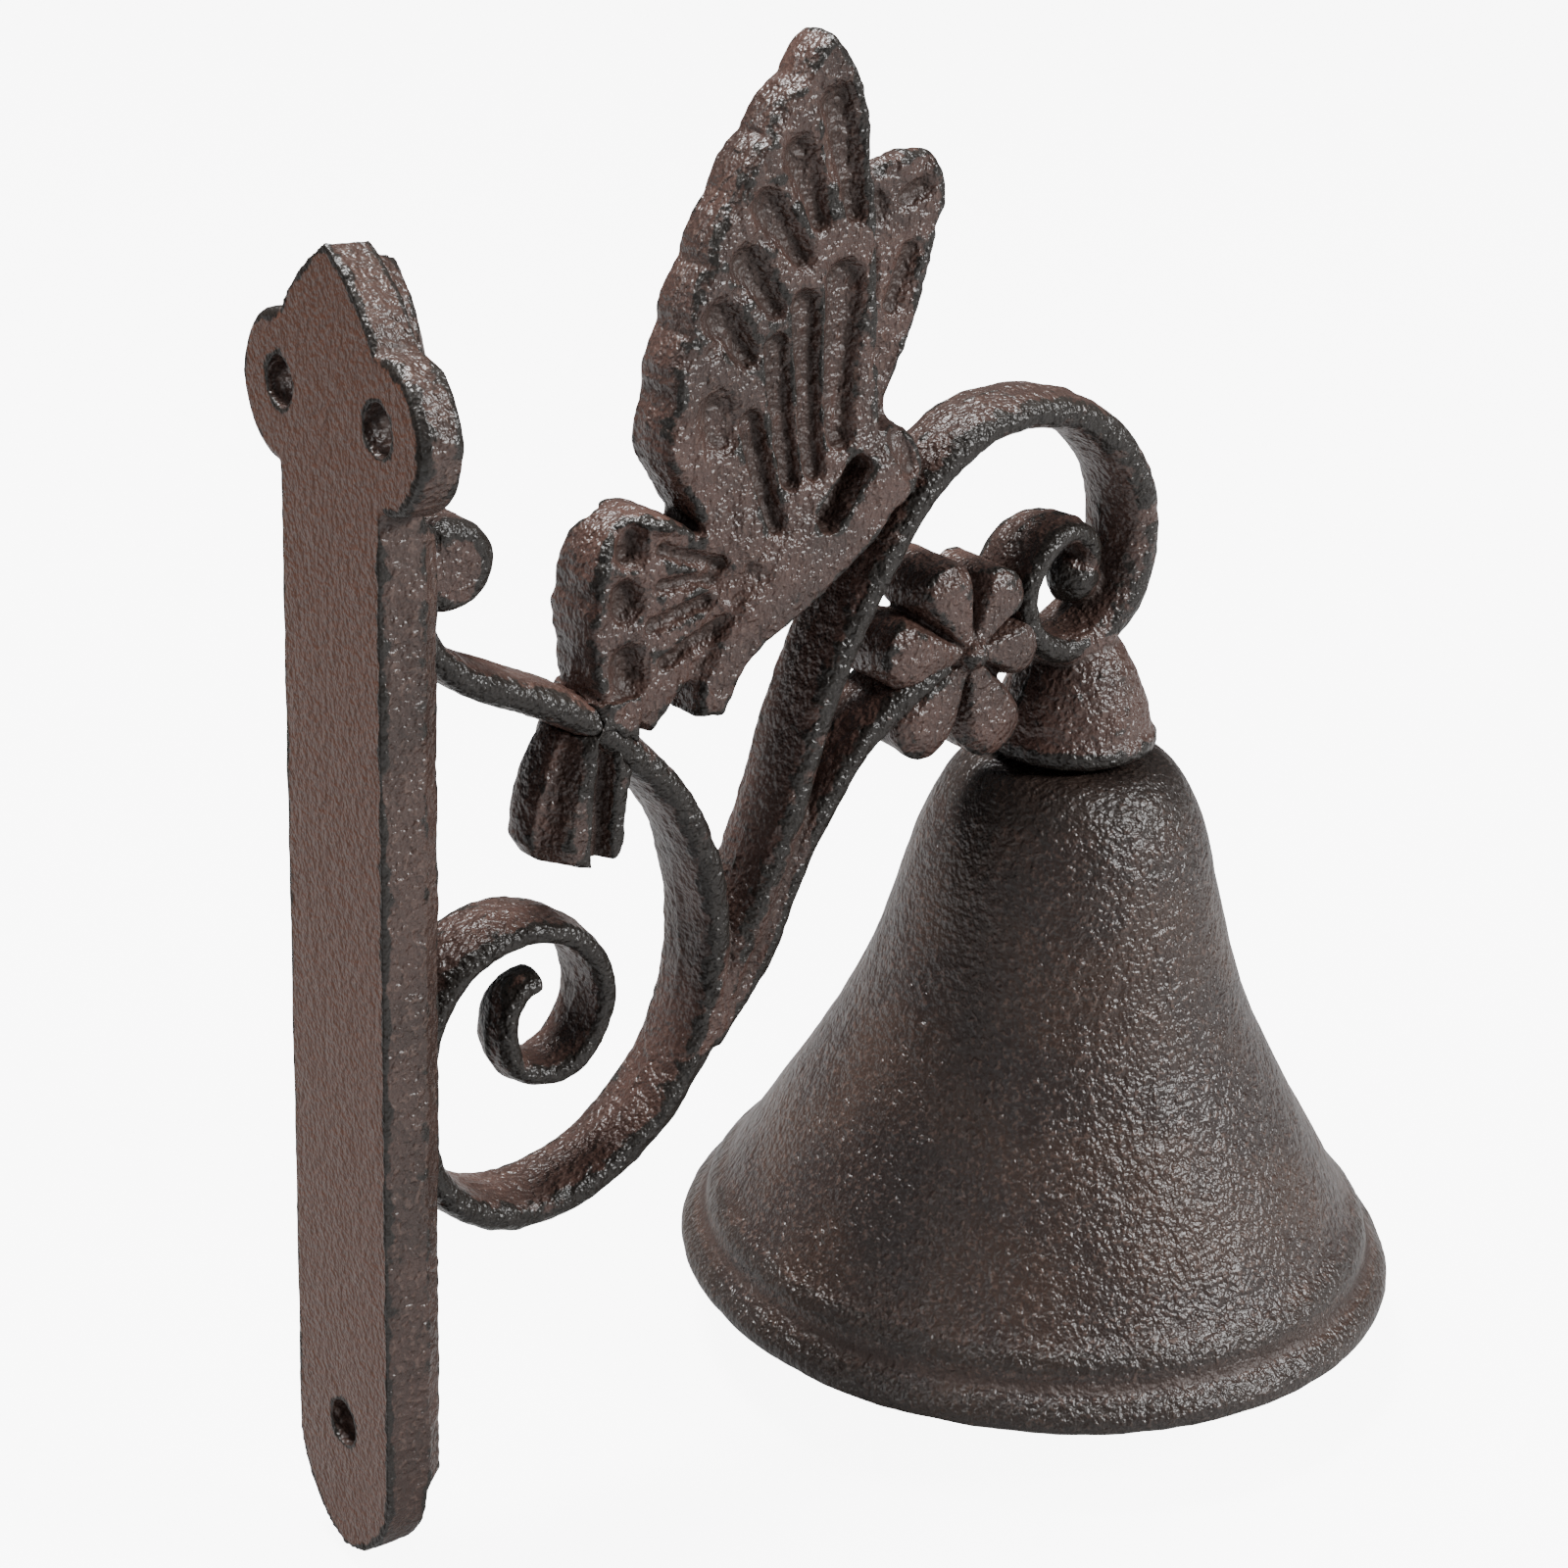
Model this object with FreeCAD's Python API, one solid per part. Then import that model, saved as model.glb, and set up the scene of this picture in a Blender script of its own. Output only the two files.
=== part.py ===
import FreeCAD, Part
import math
import os

# Wall mounted bell: an iron bracket with scrolls, a butterfly and a flower, and a
# bell with its clapper.  Millimetres, +Z up.  The origin is on the wall face of the
# plate, midway between the two upper screw holes.  +X points away from the wall,
# and the bracket is symmetric about the plane y = 0.

# Driving dimensions
BELL_RIM_R = 49.8
BELL_TOP_Z = -62.0
BELL_WALL = 4.0
BELL_X = 110.5
HOLE_PITCH = 21.8
SCREW_HOLE_R = 2.85
LOWER_HOLE_Z = -128.4
STRAP_HALF = 11.2
STRAP_DEPTH = 8.0
PLATE_BASE = 5.6
PLATE_TIP_Z = 17.5
PLATE_END_Z = -146.0
BAR_WIDTH = 11.4
BOLT_R = 3.0
RUNNING_GAP = 0.1
CLAPPER_R = 9.0

# Worked-out dimensions
LOBE_Y = HOLE_PITCH / 2 + 0.3
LOBE_R = 8.9
HEAD_NECK_Z = -9.0
SPADE_DEPTH = STRAP_DEPTH + 2.2
BELL_RIM_Z = BELL_TOP_Z - 75.6
CROWN_INNER_Z = BELL_TOP_Z - BELL_WALL
BOSS_BOTTOM_Z = BELL_TOP_Z + 0.8
BOSS_TOP_Z = BOSS_BOTTOM_Z + 15.4
BOLT_TOP_Z = BOSS_TOP_Z - 4.4
WASHER_TOP_Z = CROWN_INNER_Z - RUNNING_GAP / 2
WASHER_THICK = 1.5
WASHER_R = 7.6
NUT_TOP_Z = WASHER_TOP_Z - WASHER_THICK
NUT_HEIGHT = 5.0
NUT_FLATS = 10.0

# Clapper chain: each ring hangs on the wire of the one above it
EYE_RING_R = 4.5
EYE_WIRE_R = 1.5
LINK_RING_R = 3.5
LINK_WIRE_R = 1.2
LINK_STRAIGHT = 7.8
CLAPPER_RING_R = 4.0
CLAPPER_WIRE_R = 1.3
ROD_R = 1.8
PULL_EYE_R = 5.3
PULL_HOLE_R = 2.7
PULL_EYE_WIDTH = 2 * ROD_R
EYE_Z = NUT_TOP_Z - NUT_HEIGHT - 1.9 - EYE_RING_R
LINK_PIVOT_Z = EYE_Z - EYE_RING_R
LINK_TOP_Z = LINK_PIVOT_Z + EYE_WIRE_R + LINK_WIRE_R + RUNNING_GAP
LINK_UPPER_Z = LINK_TOP_Z - LINK_RING_R
LINK_LOWER_Z = LINK_UPPER_Z - LINK_STRAIGHT
CLAPPER_PIVOT_Z = LINK_LOWER_Z - LINK_RING_R
ROD_EYE_Z = CLAPPER_PIVOT_Z + LINK_WIRE_R + CLAPPER_WIRE_R + RUNNING_GAP - CLAPPER_RING_R
BALL_Z = ROD_EYE_Z - 22.0
PULL_EYE_Z = BELL_RIM_Z - 4.5


def vec(x, y, z):
    return FreeCAD.Vector(x, y, z)


def curve_through(points):
    """Smooth open curve through a list of vectors."""
    curve = Part.BSplineCurve()
    curve.interpolate(points)
    return curve


def arc(start, middle, end):
    return Part.Arc(start, middle, end).toShape()


def line(start, end):
    return Part.makeLine(start, end)


def polygon_face(points):
    return Part.Face(Part.makePolygon(points + [points[0]]))


def largest(shape):
    """The main solid of a cut shape, without any loose slivers."""
    return max(shape.Solids, key=lambda solid: solid.Volume)


def bar_section(centre, across, thick, width):
    """Barrel-shaped section of a cast bar: thickest on the parting plane y = 0."""
    edge = 0.4 * thick
    half = width / 2
    shoulder = half - 0.8 * edge
    along_y = vec(0, 1, 0)

    def at(offset, side):
        return centre + across * offset + along_y * side

    return Part.Wire([
        arc(at(edge, shoulder), at(thick / 2, 0), at(edge, -shoulder)),
        arc(at(edge, -shoulder), at(0, -half), at(-edge, -shoulder)),
        arc(at(-edge, -shoulder), at(-thick / 2, 0), at(-edge, shoulder)),
        arc(at(-edge, shoulder), at(0, half), at(edge, shoulder)),
    ])


def bar(stations, width=BAR_WIDTH, end_width=None, taper_from=0, steps=3):
    """Cast bar along a curve in the plane y = 0.

    Each station is (x, z, thickness), and thickness changes evenly between stations.
    The width goes evenly to end_width from station taper_from to the last one.
    """
    points = [vec(x, 0, z) for x, z, thick in stations]
    curve = curve_through(points)
    last_station = len(stations) - 1
    narrowing = 0 if end_width is None else width - end_width
    sections = []
    for count in range(last_station * steps + 1):
        index = min(count // steps, last_station - 1)
        share = count / steps - index
        first = curve.parameter(points[index])
        last = curve.parameter(points[index + 1])
        parameter = first + (last - first) * share
        thick = stations[index][2] * (1 - share) + stations[index + 1][2] * share
        taper = max(0, (index + share - taper_from) / (last_station - taper_from))
        across = curve.tangent(parameter)[0].cross(vec(0, 1, 0))
        sections.append(bar_section(curve.value(parameter), across, thick,
                                    width - narrowing * taper))
    return Part.makeLoft(sections, True, False)


def slab(edges, y_from, y_to):
    """Flat casting: a closed outline in the plane XZ, given depth along Y."""
    face = Part.Face(Part.Wire(edges))
    face.translate(vec(0, y_from, 0))
    return face.extrude(vec(0, y_to - y_from, 0))


def scallops(start, middle, end, count, depth):
    """Row of shallow outward arcs that follows the arc start-middle-end in XZ."""
    guide = Part.Arc(vec(start[0], 0, start[1]), vec(middle[0], 0, middle[1]),
                     vec(end[0], 0, end[1]))
    first = guide.FirstParameter
    last = guide.LastParameter
    knots = []
    for index in range(count + 1):
        knots.append(guide.value(first + (last - first) * index / count))
    centre = guide.toShape().Curve.Center
    edges = []
    for index in range(count):
        halfway = (knots[index] + knots[index + 1]) * 0.5
        outward = (halfway - centre).normalize()
        edges.append(arc(knots[index], halfway + outward * depth, knots[index + 1]))
    return edges


def ring(centre, axis, ring_r, wire_r):
    return Part.makeTorus(ring_r, wire_r, centre, axis)


def revolved(edges):
    """Solid of revolution about the bell's upright axis."""
    face = Part.Face(Part.Wire(edges))
    face.translate(vec(BELL_X, 0, 0))
    return face.revolve(vec(BELL_X, 0, 0), vec(0, 0, 1), 360)


def strap_outline(half, tip_z, end_z, x):
    """Strap with a spade-shaped head and a pointed foot, as a closed wire at x."""
    shoulder_z = 8.5
    foot_z = end_z + 12.2
    return Part.Wire([
        line(vec(x, half, foot_z), vec(x, half, HEAD_NECK_Z)),
        line(vec(x, half, HEAD_NECK_Z), vec(x, half - 0.9, shoulder_z)),
        arc(vec(x, half - 0.9, shoulder_z), vec(x, half / 2, tip_z - 3.6), vec(x, 0, tip_z)),
        arc(vec(x, 0, tip_z), vec(x, -half / 2, tip_z - 3.6), vec(x, 0.9 - half, shoulder_z)),
        line(vec(x, 0.9 - half, shoulder_z), vec(x, -half, HEAD_NECK_Z)),
        line(vec(x, -half, HEAD_NECK_Z), vec(x, -half, foot_z)),
        arc(vec(x, -half, foot_z), vec(x, -0.72 * half, end_z + 4.4), vec(x, 0, end_z)),
        arc(vec(x, 0, end_z), vec(x, 0.72 * half, end_z + 4.4), vec(x, half, foot_z)),
    ])


def raised_strap():
    """Bevelled front of the strap below the head."""
    bevel = 1.6
    top_z = HEAD_NECK_Z - 2.0
    end_z = PLATE_END_Z + 1.5
    half = STRAP_HALF
    layers = []
    for x, inset in ((PLATE_BASE, 0.1), (STRAP_DEPTH, bevel)):
        side = half - inset
        foot_z = PLATE_END_Z + 12.2 + inset
        layers.append(Part.makePolygon([
            vec(x, side, foot_z), vec(x, side, top_z - inset), vec(x, -side, top_z - inset),
            vec(x, -side, foot_z), vec(x, 0, end_z + inset), vec(x, side, foot_z)]))
    return Part.makeLoft(layers, True, True)


def spade():
    """Raised spade in the middle of the head."""
    layers = []
    for x, scale in ((PLATE_BASE, 1.02), (SPADE_DEPTH - 1.6, 0.95), (SPADE_DEPTH, 0.66)):
        half = 7.4 * scale
        centre_z = 1.0
        top_z = centre_z + 15.0 * scale
        low_z = centre_z - 14.0 * scale
        layers.append(Part.Wire([
            arc(vec(x, half, centre_z), vec(x, half * 0.72, (centre_z + top_z) / 2),
                vec(x, 0, top_z)),
            arc(vec(x, 0, top_z), vec(x, -half * 0.72, (centre_z + top_z) / 2),
                vec(x, -half, centre_z)),
            arc(vec(x, -half, centre_z), vec(x, 0, low_z), vec(x, half, centre_z)),
        ]))
    return Part.makeLoft(layers, True, True)


def lobe(side):
    """Round ear of the head that a screw goes through."""
    disc = Part.makeCylinder(LOBE_R, PLATE_BASE, vec(0, side * LOBE_Y, -0.7), vec(1, 0, 0))
    rims = [edge for edge in disc.Edges if edge.Closed and abs(edge.BoundBox.XLength) < 0.01]
    return disc.makeFillet(1.2, rims)


def screw_hole(y, z):
    return Part.makeCylinder(SCREW_HOLE_R, 3 * STRAP_DEPTH, vec(-STRAP_DEPTH, y, z), vec(1, 0, 0))


def wall_plate():
    base = Part.Face(strap_outline(STRAP_HALF, PLATE_TIP_Z, PLATE_END_Z, 0))
    base = base.extrude(vec(PLATE_BASE, 0, 0))
    plate = base.fuse([raised_strap(), spade(), lobe(1), lobe(-1)])
    for y, z in ((HOLE_PITCH / 2, 0), (-HOLE_PITCH / 2, 0), (0, LOWER_HOLE_Z)):
        plate = plate.cut(screw_hole(y, z))
    return largest(plate.removeSplitter())


def wall_scroll():
    """S-shaped bar: from the plate, round the big loop, along the plate, into its curl."""
    return bar([
        (8.4, -19.0, 3.4), (8.2, -24.5, 3.8), (12.4, -31.0, 4.2), (20.0, -35.4, 4.4),
        (30.0, -40.4, 4.6), (37.0, -46.0, 4.8), (43.0, -52.0, 4.8), (47.3, -59.0, 4.8),
        (49.8, -67.0, 4.8), (50.6, -75.0, 4.8), (49.6, -83.0, 4.8), (46.6, -90.5, 4.8),
        (41.2, -97.4, 4.8), (34.2, -102.1, 4.8), (26.0, -104.2, 4.8), (18.0, -102.9, 4.4),
        (12.0, -98.0, 4.0), (9.2, -90.5, 3.8), (8.9, -82.5, 3.6), (10.4, -75.0, 3.4),
        (15.0, -69.0, 3.4), (21.8, -66.6, 3.4), (29.7, -68.6, 3.4), (34.5, -76.0, 3.4),
        (32.8, -83.4, 3.4), (28.0, -86.6, 3.4), (23.4, -85.0, 3.4), (21.8, -80.6, 3.4),
        (23.2, -76.2, 3.4), (26.6, -74.8, 3.0)],
        end_width=5.4, taper_from=22)


def scroll_knob():
    """Solid curl at the top end of the wall scroll, against the plate."""
    barrel = Part.makeCylinder(5.3, BAR_WIDTH, vec(12.8, -BAR_WIDTH / 2, -18.9), vec(0, 1, 0))
    rims = [edge for edge in barrel.Edges if abs(edge.BoundBox.YLength) < 0.01]
    return barrel.makeFillet(1.4, rims)


def bell_arm():
    """Swan neck from the big loop, over the top, down to the boss, with the end scroll."""
    neck = bar([
        (46.6, -91.6, 2.4), (49.8, -86.8, 3.4), (52.3, -81.0, 4.6), (56.1, -73.0, 5.6),
        (60.4, -62.5, 5.6), (63.6, -52.0, 5.2), (66.7, -43.0, 5.0), (71.0, -34.0, 5.0),
        (75.2, -27.0, 5.0), (79.8, -20.8, 5.0), (85.1, -16.3, 5.0), (90.4, -13.8, 4.8),
        (96.6, -12.9, 4.8), (104.4, -14.3, 5.0), (111.2, -18.8, 5.8), (115.7, -26.0, 6.6),
        (116.7, -34.0, 7.4), (114.0, -41.4, 7.4), (108.2, -45.4, 5.6), (102.4, -45.0, 4.0),
        (98.3, -41.2, 3.6), (97.8, -35.6, 3.6), (100.9, -31.0, 3.6), (105.6, -30.0, 3.6),
        (109.0, -32.2, 3.6), (109.8, -35.6, 3.6)],
        end_width=6.0, taper_from=22)
    scroll_eye = Part.makeSphere(3.5, vec(108.8, 0, -37.2))
    return neck.fuse(scroll_eye)


def flower_stem():
    return bar([
        (50.4, -88.0, 2.4), (53.8, -83.2, 3.4), (57.4, -78.0, 4.0), (61.4, -68.7, 4.4),
        (66.3, -59.9, 4.4), (71.2, -53.0, 4.4), (78.0, -47.6, 4.6), (85.0, -43.8, 4.6)])


def flower():
    """Six barrel-shaped petals round a button; the lower petals are the longer ones."""
    centre_x = 87.8
    centre_z = -42.6
    first_angle = -6.0
    petal_tips = (11.5, 11.8, 12.8, 13.2, 15.6, 16.8)
    petal_r = 5.6
    half_depth = 6.6
    crown = 1.4

    def barrel(x, z, radius, half):
        profile = Part.Wire([
            line(vec(0, -half, 0), vec(radius * 0.6, -half + 0.3, 0)),
            arc(vec(radius * 0.6, -half + 0.3, 0), vec(radius, 0, 0),
                vec(radius * 0.6, half - 0.3, 0)),
            line(vec(radius * 0.6, half - 0.3, 0), vec(0, half, 0)),
            line(vec(0, half, 0), vec(0, -half, 0))])
        solid = Part.Face(profile).revolve(vec(0, 0, 0), vec(0, 1, 0), 360)
        solid.translate(vec(x, 0, z))
        return solid

    petals = []
    for index, tip in enumerate(petal_tips):
        angle = math.radians(first_angle + 60 * index)
        spread = tip - petal_r
        petals.append(barrel(centre_x + spread * math.cos(angle),
                             centre_z + spread * math.sin(angle), petal_r, half_depth))
    button = barrel(centre_x, centre_z, petal_r * 0.9, half_depth + crown)
    return button.fuse(petals)


def butterfly_body():
    """Head, thorax and the abdomen that hangs free below the wings."""
    trunk = bar([
        (75.0, -16.0, 4.0), (70.5, -19.6, 9.0), (64.5, -24.0, 11.0), (58.4, -28.2, 11.0),
        (53.0, -32.4, 9.0), (50.0, -37.0, 7.4), (48.4, -41.4, 6.4), (47.8, -44.0, 4.0)],
        width=12.4)
    head = Part.makeSphere(5.9, vec(73.2, 0, -16.4))
    return trunk.fuse(head)


def butterfly_forewing():
    """Tall near-upright wing with a scalloped outer edge."""
    half_depth = 3.2
    tip = (64.2, 36.5)
    foot = (41.6, -12.5)
    edges = scallops(foot, (46.0, 9.0), (59.7, 31.4), 6, 0.8)
    outer_top = edges[-1].Vertexes[-1].Point
    outer_foot = edges[0].Vertexes[0].Point
    inner_foot = vec(72.0, 0, -14.0)
    edges += [
        arc(outer_top, vec(61.4, 0, 34.5), vec(tip[0], 0, tip[1])),
        arc(vec(tip[0], 0, tip[1]), vec(68.8, 0, 30.2), vec(70.4, 0, 21.5)),
        arc(vec(70.4, 0, 21.5), vec(71.4, 0, 4.0), inner_foot),
        line(inner_foot, vec(52.0, 0, -29.0)),
        line(vec(52.0, 0, -29.0), outer_foot)]
    return slab(edges, -half_depth, half_depth)


def butterfly_rear_forewing():
    """The other forewing, seen as a narrower blade behind the first."""
    edges = [
        arc(vec(70.0, 0, 18.5), vec(74.6, 0, 20.6), vec(80.4, 0, 21.2)),
        arc(vec(80.4, 0, 21.2), vec(82.9, 0, 18.0), vec(82.2, 0, 11.6)),
        arc(vec(82.2, 0, 11.6), vec(79.8, 0, 1.6), vec(75.3, 0, -9.0)),
        line(vec(75.3, 0, -9.0), vec(76.4, 0, -15.0)),
        line(vec(76.4, 0, -15.0), vec(68.0, 0, -16.0)),
        line(vec(68.0, 0, -16.0), vec(70.0, 0, 18.5))]
    return slab(edges, -1.4, 2.4)


def butterfly_hindwing():
    """Lower wing, thicker than the forewing, above the wall scroll."""
    half_depth = 4.8
    edges = scallops((33.4, -41.0), (31.0, -30.0), (33.4, -19.4), 3, 0.7)
    outer_foot = edges[0].Vertexes[0].Point
    outer_top = edges[-1].Vertexes[-1].Point
    edges += [
        arc(outer_top, vec(37.6, 0, -17.2), vec(44.0, 0, -18.6)),
        line(vec(44.0, 0, -18.6), vec(56.0, 0, -27.0)),
        line(vec(56.0, 0, -27.0), vec(49.5, 0, -34.0)),
        arc(vec(49.5, 0, -34.0), vec(44.6, 0, -40.4), vec(40.6, 0, -45.0)),
        line(vec(40.6, 0, -45.0), outer_foot)]
    return slab(edges, -half_depth, half_depth)


def butterfly_tail():
    """Tail of the lower wing, below the wall scroll, with a rounded outer side."""
    half_depth = 6.0
    inner_half = 5.2
    sections = []
    for z, outer, ridge, inner in (
            (-39.0, 30.6, 33.6, 38.2), (-44.5, 27.2, 31.6, 38.0), (-50.5, 24.6, 29.8, 36.6),
            (-56.0, 23.8, 28.6, 36.2), (-58.2, 25.4, 29.4, 36.0), (-59.2, 28.4, 31.0, 35.2)):
        sections.append(Part.Wire([
            arc(vec(ridge, -half_depth, z), vec(outer, 0, z), vec(ridge, half_depth, z)),
            line(vec(ridge, half_depth, z), vec(inner, inner_half, z)),
            line(vec(inner, inner_half, z), vec(inner, -inner_half, z)),
            line(vec(inner, -inner_half, z), vec(ridge, -half_depth, z))]))
    return Part.makeLoft(sections, True, True)


def hanger_boss():
    """Rounded cone under the arm's end that the bell hangs from."""
    foot_r = 11.4
    top_r = 5.4
    fillet = 2.0
    return revolved([
        line(vec(0, 0, BOSS_BOTTOM_Z), vec(foot_r - fillet, 0, BOSS_BOTTOM_Z)),
        arc(vec(foot_r - fillet, 0, BOSS_BOTTOM_Z), vec(foot_r, 0, BOSS_BOTTOM_Z + 1.2),
            vec(foot_r - 0.7, 0, BOSS_BOTTOM_Z + 3.4)),
        arc(vec(foot_r - 0.7, 0, BOSS_BOTTOM_Z + 3.4), vec(8.8, 0, BOSS_BOTTOM_Z + 9.4),
            vec(top_r, 0, BOSS_TOP_Z)),
        line(vec(top_r, 0, BOSS_TOP_Z), vec(0, 0, BOSS_TOP_Z)),
        line(vec(0, 0, BOSS_TOP_Z), vec(0, 0, BOSS_BOTTOM_Z))])


def bell():
    """Cast bell: rounded shoulder, flared skirt, a shallow bead and a round lip."""
    hole_r = BOLT_R + RUNNING_GAP
    bead_z = BELL_RIM_Z + 10.6
    flare = [
        (16.2, BELL_TOP_Z - 3.4), (19.0, BELL_TOP_Z - 8.6), (20.6, BELL_TOP_Z - 14.4),
        (23.8, BELL_TOP_Z - 27.0), (28.2, BELL_TOP_Z - 38.4), (35.0, BELL_TOP_Z - 51.0),
        (43.2, bead_z)]
    outer = [vec(11.0, 0, BELL_TOP_Z)] + [vec(r, 0, z) for r, z in flare]
    groove = vec(46.2, 0, BELL_RIM_Z + 7.0)
    brim = vec(BELL_RIM_R, 0, BELL_RIM_Z + 2.2)
    rim = vec(BELL_RIM_R - 3.2, 0, BELL_RIM_Z)
    inner = [rim, vec(43.8, 0, BELL_RIM_Z + 4.0)]
    inner += [vec(r - BELL_WALL, 0, z - BELL_WALL / 2) for r, z in reversed(flare[2:-1])]
    inner += [vec(flare[0][0] - BELL_WALL, 0, CROWN_INNER_Z - 2.6), vec(WASHER_R + 0.6, 0, CROWN_INNER_Z)]
    return revolved([
        line(vec(hole_r, 0, BELL_TOP_Z), outer[0]),
        curve_through(outer).toShape(),
        arc(outer[-1], vec(45.4, 0, bead_z - 1.2), groove),
        arc(groove, vec(49.0, 0, BELL_RIM_Z + 5.2), brim),
        arc(brim, vec(BELL_RIM_R - 0.8, 0, BELL_RIM_Z + 0.5), rim),
        curve_through(inner).toShape(),
        line(inner[-1], vec(hole_r, 0, CROWN_INNER_Z)),
        line(vec(hole_r, 0, CROWN_INNER_Z), vec(hole_r, 0, BELL_TOP_Z))])


def hanger_eye_bolt():
    shank_end = EYE_Z + EYE_RING_R
    shank = Part.makeCylinder(BOLT_R, BOLT_TOP_Z - shank_end, vec(BELL_X, 0, shank_end))
    return shank.fuse(ring(vec(BELL_X, 0, EYE_Z), vec(0, 1, 0), EYE_RING_R, EYE_WIRE_R))


def bell_washer():
    bottom = vec(BELL_X, 0, NUT_TOP_Z)
    disc = Part.makeCylinder(WASHER_R, WASHER_THICK, bottom)
    return disc.cut(Part.makeCylinder(BOLT_R, WASHER_THICK, bottom))


def hanger_nut():
    bottom_z = NUT_TOP_Z - NUT_HEIGHT
    corner_r = NUT_FLATS / 2 / math.cos(math.radians(30))
    corners = []
    for index in range(6):
        angle = math.radians(60 * index)
        corners.append(vec(BELL_X + corner_r * math.cos(angle), corner_r * math.sin(angle), bottom_z))
    block = polygon_face(corners).extrude(vec(0, 0, NUT_HEIGHT))
    return block.cut(Part.makeCylinder(BOLT_R, NUT_HEIGHT, vec(BELL_X, 0, bottom_z)))


def clapper_link():
    """Oval chain link in the plane YZ."""
    path = Part.Wire([
        arc(vec(BELL_X, -LINK_RING_R, LINK_UPPER_Z), vec(BELL_X, 0, LINK_TOP_Z),
            vec(BELL_X, LINK_RING_R, LINK_UPPER_Z)),
        line(vec(BELL_X, LINK_RING_R, LINK_UPPER_Z), vec(BELL_X, LINK_RING_R, LINK_LOWER_Z)),
        arc(vec(BELL_X, LINK_RING_R, LINK_LOWER_Z), vec(BELL_X, 0, CLAPPER_PIVOT_Z),
            vec(BELL_X, -LINK_RING_R, LINK_LOWER_Z)),
        line(vec(BELL_X, -LINK_RING_R, LINK_LOWER_Z), vec(BELL_X, -LINK_RING_R, LINK_UPPER_Z))])
    start = vec(BELL_X, -LINK_RING_R, LINK_UPPER_Z)
    wire = Part.Wire([Part.Circle(start, vec(0, 0, 1), LINK_WIRE_R).toShape()])
    return path.makePipeShell([wire], True, True)


def pull_eye():
    """Flat eye at the rod's foot, for a cord."""
    start = vec(BELL_X, -PULL_EYE_WIDTH / 2, PULL_EYE_Z)
    disc = Part.makeCylinder(PULL_EYE_R, PULL_EYE_WIDTH, start, vec(0, 1, 0))
    rims = [edge for edge in disc.Edges if abs(edge.BoundBox.YLength) < 0.01]
    return disc.makeFillet(0.7, rims)


def clapper_rod():
    """Rod with a round wire ring at the top and the pull eye at the foot."""
    upper_end = ROD_EYE_Z - CLAPPER_RING_R
    rod = Part.makeCylinder(ROD_R, upper_end - PULL_EYE_Z, vec(BELL_X, 0, PULL_EYE_Z))
    top_ring = ring(vec(BELL_X, 0, ROD_EYE_Z), vec(0, 1, 0), CLAPPER_RING_R, CLAPPER_WIRE_R)
    start = vec(BELL_X, -PULL_EYE_WIDTH, PULL_EYE_Z)
    cord_hole = Part.makeCylinder(PULL_HOLE_R, 2 * PULL_EYE_WIDTH, start, vec(0, 1, 0))
    return rod.fuse([top_ring, pull_eye()]).cut(cord_hole)


def clapper_ball():
    ball = Part.makeSphere(CLAPPER_R, vec(BELL_X, 0, BALL_Z))
    return ball.cut(Part.makeCylinder(ROD_R, 3 * CLAPPER_R, vec(BELL_X, 0, BALL_Z - 1.5 * CLAPPER_R)))


def trimmed(shape, *neighbours):
    """A member of the casting, cut where it runs into members made before it."""
    return largest(shape.cut(list(neighbours)))


def build():
    nodes = {"wall_plate": wall_plate()}
    scroll = wall_scroll().fuse(scroll_knob())
    nodes["wall_scroll"] = trimmed(scroll, nodes["wall_plate"])
    nodes["bell_arm"] = trimmed(bell_arm(), nodes["wall_scroll"])
    nodes["flower_stem"] = trimmed(flower_stem(), nodes["wall_scroll"], nodes["bell_arm"])
    nodes["hanger_eye_bolt"] = hanger_eye_bolt()
    nodes["hanger_boss"] = trimmed(hanger_boss(), nodes["bell_arm"], nodes["hanger_eye_bolt"])
    nodes["flower"] = trimmed(flower(), nodes["flower_stem"], nodes["bell_arm"], nodes["hanger_boss"])
    nodes["butterfly_body"] = trimmed(butterfly_body(), nodes["bell_arm"], nodes["wall_scroll"])
    nodes["butterfly_hindwing"] = trimmed(
        butterfly_hindwing(), nodes["butterfly_body"], nodes["wall_scroll"], nodes["bell_arm"])
    nodes["butterfly_tail"] = trimmed(
        butterfly_tail(), nodes["wall_scroll"], nodes["butterfly_hindwing"])
    nodes["butterfly_forewing"] = trimmed(
        butterfly_forewing(), nodes["butterfly_body"], nodes["butterfly_hindwing"],
        nodes["bell_arm"])
    nodes["butterfly_rear_forewing"] = trimmed(
        butterfly_rear_forewing(), nodes["butterfly_forewing"], nodes["butterfly_body"],
        nodes["bell_arm"])
    nodes["bell"] = bell()
    nodes["bell_washer"] = bell_washer()
    nodes["hanger_nut"] = hanger_nut()
    nodes["clapper_link"] = clapper_link()
    nodes["clapper_rod"] = clapper_rod()
    nodes["clapper_ball"] = clapper_ball()
    return nodes


os.makedirs("parts", exist_ok=True)
for name, shape in build().items():
    shape.exportStep("parts/" + name + ".step")
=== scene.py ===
import math

import bmesh
import bpy
import numpy as np
from mathutils import Matrix, Vector
from mathutils.bvhtree import BVHTree


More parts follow.
